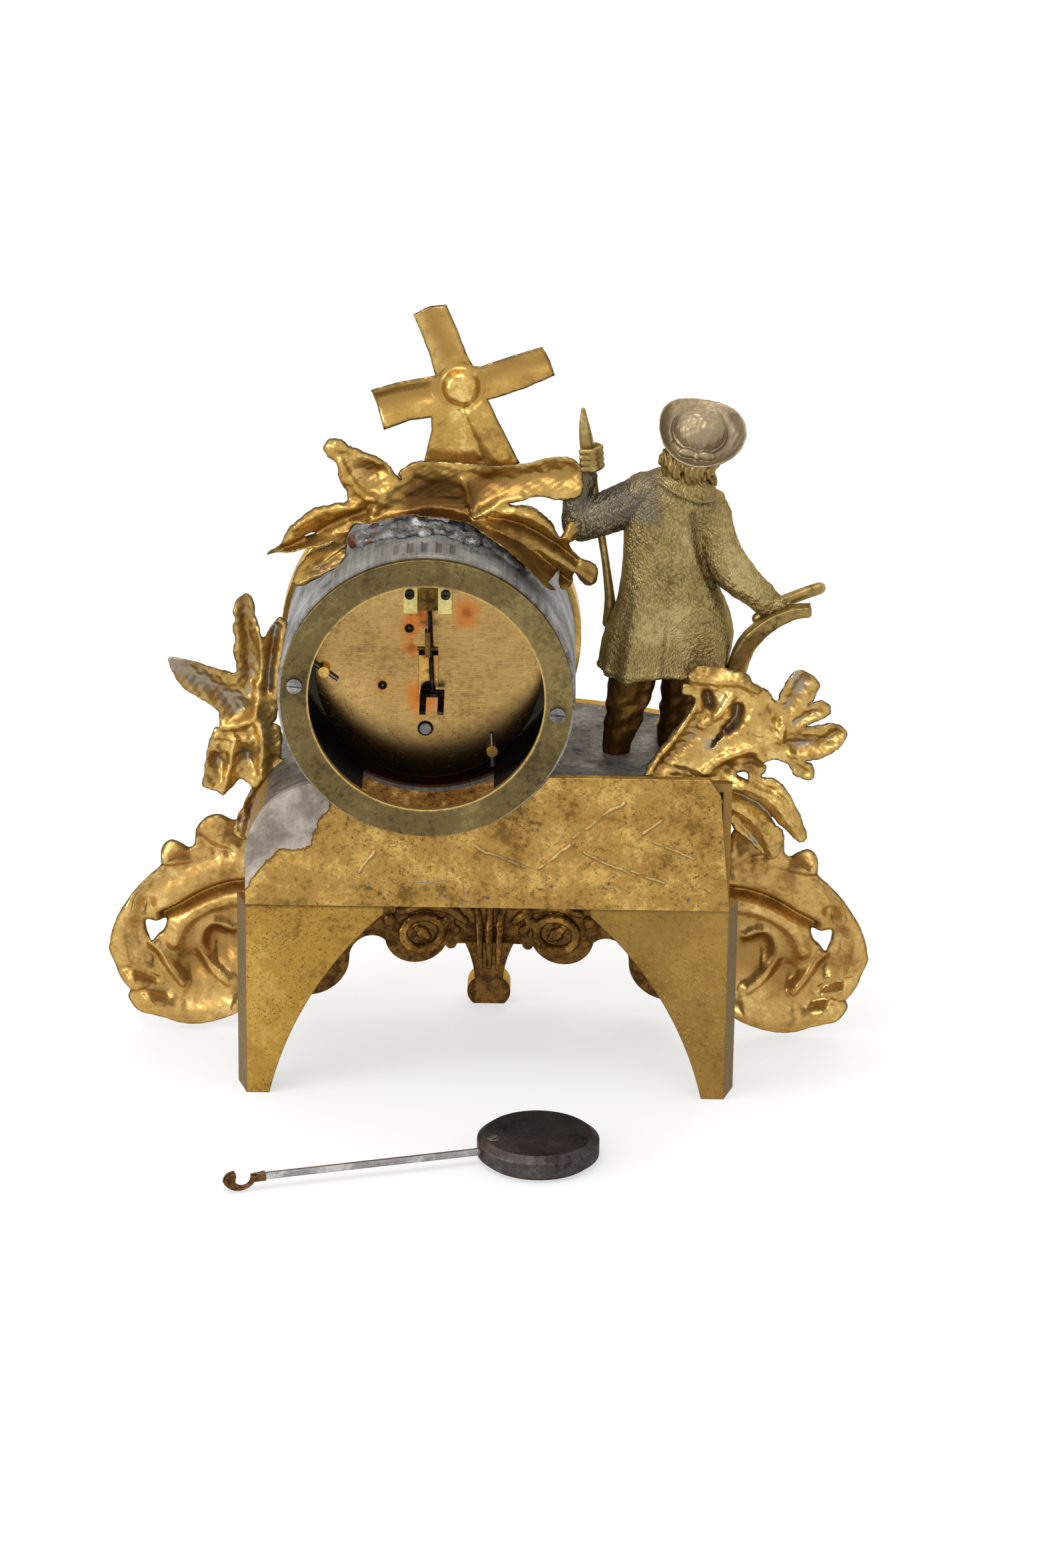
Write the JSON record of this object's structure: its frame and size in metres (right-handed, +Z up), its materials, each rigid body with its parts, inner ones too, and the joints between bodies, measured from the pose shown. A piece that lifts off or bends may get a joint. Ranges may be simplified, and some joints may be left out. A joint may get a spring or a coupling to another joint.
{
  "type": "figural mantel clock",
  "caption": "Gilt cast mantel clock: drum movement with rear ring, ploughman figure, windmill crest and leaf sprays on a footed base, with its pendulum laid beside it.",
  "frame": {"origin": "the middle of the front foot's sole, on the table plane", "axes": "+X to the left as seen from behind, +Y to the rear where the movement shows, +Z up; the dial faces -Y"},
  "size_m": [0.2748, 0.1734, 0.2769],
  "materials": {
    "gilt_spelter": "worn gilding over cast spelter",
    "bare_spelter": "bare cast spelter",
    "dull_bronze": "dulled gilding",
    "movement_brass": "brushed",
    "aged_brass": "aged",
    "steel": "satin",
    "blue_steel": "blued",
    "black_steel": "blackened",
    "dial_enamel": "enamel",
    "clear_glass": "clear",
    "dark_bronze": "darkened"
  },
  "bodies": {
    "case": {"base_back_panel": "gilt_spelter", "base_shoulders": "bare_spelter", "base_front": "gilt_spelter", "rear_legs": "gilt_spelter", "side_scroll_left": "gilt_spelter", "side_scroll_right": "gilt_spelter", "leaf_spray_left": "gilt_spelter", "flower_spray_right": "gilt_spelter", "drum": "bare_spelter", "crest_foliage": "gilt_spelter", "windmill_tower": "gilt_spelter", "windmill_sails": "gilt_spelter", "figure_legs": "dull_bronze", "figure_coat": "dull_bronze", "figure_head": "dull_bronze", "figure_goad_arm": "dull_bronze", "figure_plough_arm": "dull_bronze", "goad": "gilt_spelter", "plough": "dull_bronze", "bezel": "gilt_spelter", "dial_glass": "clear_glass", "dial": "dial_enamel", "rear_ring": "aged_brass", "case_straps": "movement_brass", "ring_screws": "steel", "front_plate": "movement_brass", "back_plate": "movement_brass", "pillars": "movement_brass", "taper_pins": "steel", "centre_cock": "movement_brass", "movement_screws": "blue_steel", "suspension_bracket": "movement_brass", "suspension_chops": "aged_brass", "suspension_spring": "steel", "click_spring": "steel"},
    "barrel": {"barrel": "movement_brass", "mainspring": "blue_steel"},
    "winding": {"barrel_arbor": "steel", "ratchet_wheel": "steel"},
    "click": {"click": "steel"},
    "second": {"second_arbor": "steel", "second_wheel": "movement_brass"},
    "centre": {"centre_arbor": "steel", "centre_wheel": "movement_brass", "cannon_pinion": "steel", "minute_hand": "blue_steel"},
    "third": {"third_arbor": "steel", "third_wheel": "movement_brass"},
    "escape": {"escape_arbor": "steel", "escape_wheel": "movement_brass"},
    "minute_work": {"minute_wheel": "movement_brass"},
    "hour_work": {"hour_wheel": "movement_brass", "hour_hand": "blue_steel"},
    "crutch": {"pallet_arbor": "steel", "crutch": "black_steel"},
    "suspension": {"suspension_link": "aged_brass"},
    "pendulum": {"pendulum_bob": "dark_bronze", "bob_screw": "steel", "pendulum_rod": "steel", "pendulum_hook": "dark_bronze"}
  },
  "joints": [
    {"name": "centre_spin", "type": "hinge", "parent": "case", "child": "centre", "pos_m": [0.0215, 0, 0.1495], "axis": [0, 1, 0], "continuous": true},
    {"name": "third_spin", "type": "hinge", "parent": "case", "child": "third", "pos_m": [0.02825, 0, 0.1651], "axis": [0, 1, 0], "continuous": true},
    {"name": "escape_spin", "type": "hinge", "parent": "case", "child": "escape", "pos_m": [0.0163, 0, 0.1688], "axis": [0, 1, 0], "continuous": true},
    {"name": "second_spin", "type": "hinge", "parent": "case", "child": "second", "pos_m": [0.0374, 0, 0.1439], "axis": [0, 1, 0], "continuous": true},
    {"name": "barrel_spin", "type": "hinge", "parent": "case", "child": "barrel", "pos_m": [0.0224, 0, 0.1283], "axis": [0, 1, 0], "continuous": true},
    {"name": "minute_work_spin", "type": "hinge", "parent": "case", "child": "minute_work", "pos_m": [0.0147, 0, 0.1427], "axis": [0, 1, 0], "continuous": true},
    {"name": "hour_spin", "type": "hinge", "parent": "case", "child": "hour_work", "pos_m": [0.0215, 0, 0.1495], "axis": [0, 1, 0], "continuous": true},
    {"name": "winding_turn", "type": "hinge", "parent": "case", "child": "winding", "pos_m": [0.0224, 0, 0.1283], "axis": [0, 1, 0], "continuous": true},
    {"name": "click_lift", "type": "hinge", "parent": "case", "child": "click", "pos_m": [0.0319, 0, 0.1338], "axis": [0, 1, 0], "range_deg": [0, 12], "stiffness_Nm_per_rad": 0.0002, "deforming": ["click_spring"]},
    {"name": "crutch_swing", "type": "hinge", "parent": "case", "child": "crutch", "pos_m": [0.0215, 0, 0.1785], "axis": [0, 1, 0], "range_deg": [-3, 3]},
    {"name": "suspension_swing", "type": "hinge", "parent": "case", "child": "suspension", "pos_m": [0.0215, 0, 0.173], "axis": [0, 1, 0], "range_deg": [-3.5, 3.5]},
    {"name": "pendulum_lift", "type": "slide", "parent": "case", "child": "pendulum", "axis": [0, 0, 1], "range_m": [0, 0.15]}
  ],
  "couplings": [
    {"joint": "third_spin", "follows": "centre_spin", "ratio": -12},
    {"joint": "escape_spin", "follows": "centre_spin", "ratio": 144},
    {"joint": "second_spin", "follows": "centre_spin", "ratio": -0.16667},
    {"joint": "barrel_spin", "follows": "centre_spin", "ratio": 0.02381},
    {"joint": "minute_work_spin", "follows": "centre_spin", "ratio": -0.33333},
    {"joint": "hour_spin", "follows": "centre_spin", "ratio": 0.083333}
  ]
}
